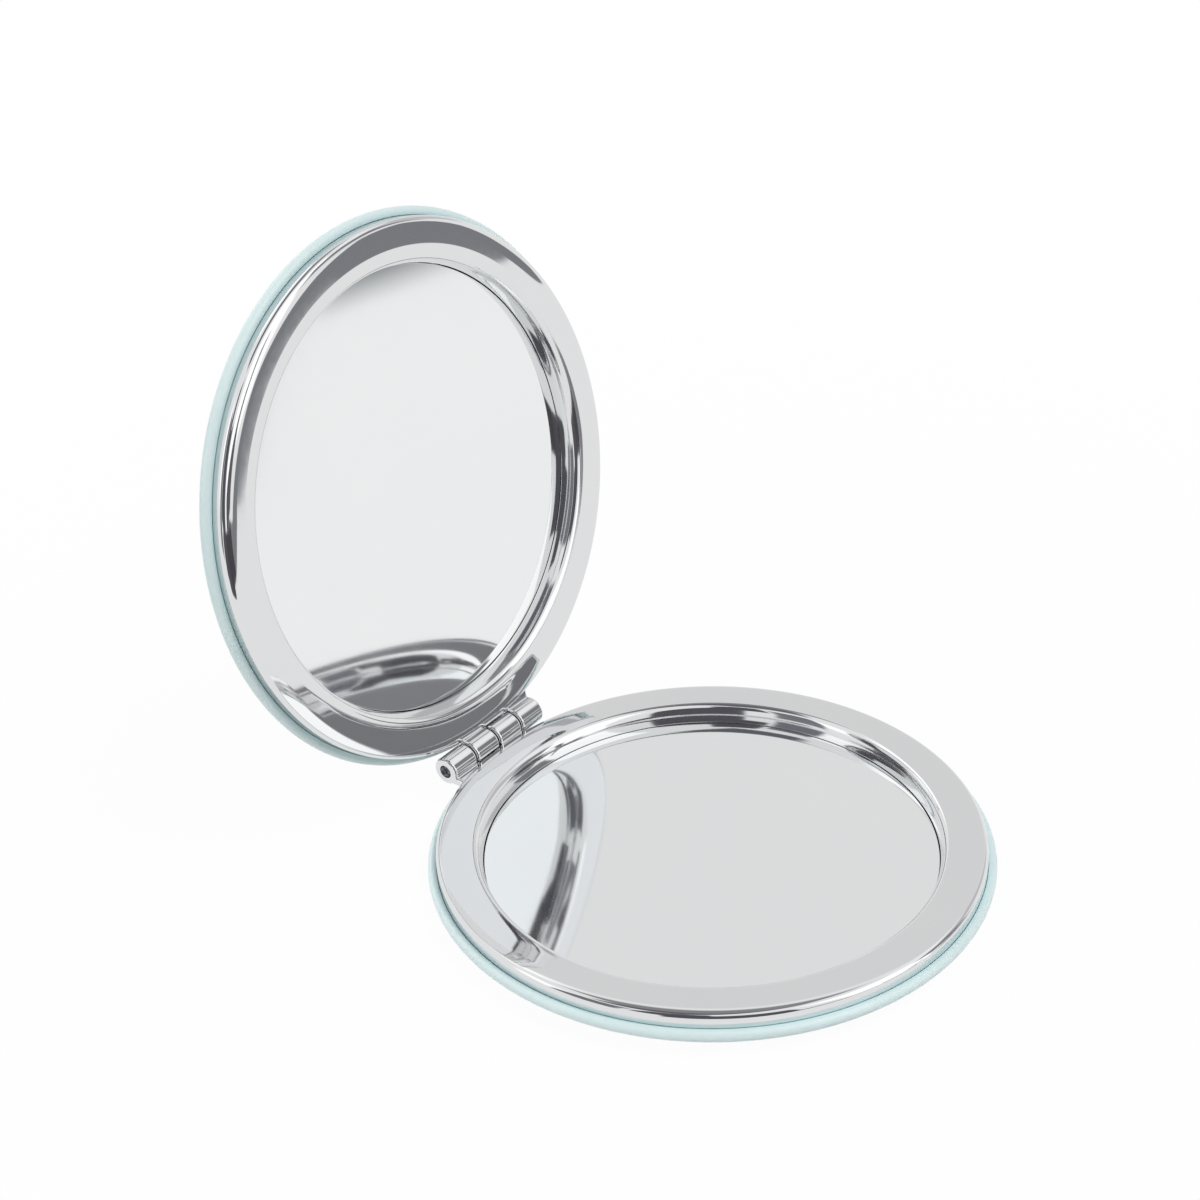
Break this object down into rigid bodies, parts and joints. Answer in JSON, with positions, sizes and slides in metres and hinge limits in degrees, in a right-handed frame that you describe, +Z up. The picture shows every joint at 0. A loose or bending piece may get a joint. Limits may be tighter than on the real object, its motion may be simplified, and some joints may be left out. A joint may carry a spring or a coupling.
{
  "type": "compact mirror",
  "caption": "Round folding compact mirror: chrome ring frames on a pin hinge, a magnifying glass in the base, a plain glass in the lid, leatherette-wrapped backs.",
  "frame": {"origin": "middle of the flat underside of the base, on the surface that it rests on", "axes": "+Z up, +Y from the middle of the base towards the hinge, X along the hinge pin"},
  "size_m": [0.07, 0.0879, 0.0739],
  "materials": {
    "chrome_plate": "bright chrome plate on a polished zinc casting",
    "mirror_glass": "silvered float glass",
    "adhesive_pad": "matte double-sided adhesive",
    "moulded_tray": "matte moulded plastic",
    "foam": "matte foam sheet",
    "leatherette": "satin mint leatherette with a fine grain",
    "nickel_plate": "nickel plate",
    "steel_pin": "drawn steel"
  },
  "bodies": {
    "base": {"base_frame": "chrome_plate", "base_mirror": "mirror_glass", "base_mirror_pad": "adhesive_pad", "base_frame_tape": "adhesive_pad", "base_tray": "moulded_tray", "base_foam": "foam", "base_skin": "leatherette", "base_magnet": "nickel_plate", "hinge_pin": "steel_pin"},
    "lid": {"lid_frame": "chrome_plate", "lid_mirror": "mirror_glass", "lid_mirror_pad": "adhesive_pad", "lid_frame_tape": "adhesive_pad", "lid_tray": "moulded_tray", "lid_foam": "foam", "lid_skin": "leatherette", "lid_magnet": "nickel_plate"}
  },
  "joints": [
    {"name": "lid_hinge", "type": "hinge", "parent": "base", "child": "lid", "pos_m": [0, 0.03535, 0.0054], "axis": [-1, 0, 0], "range_deg": [-101, 79]}
  ]
}
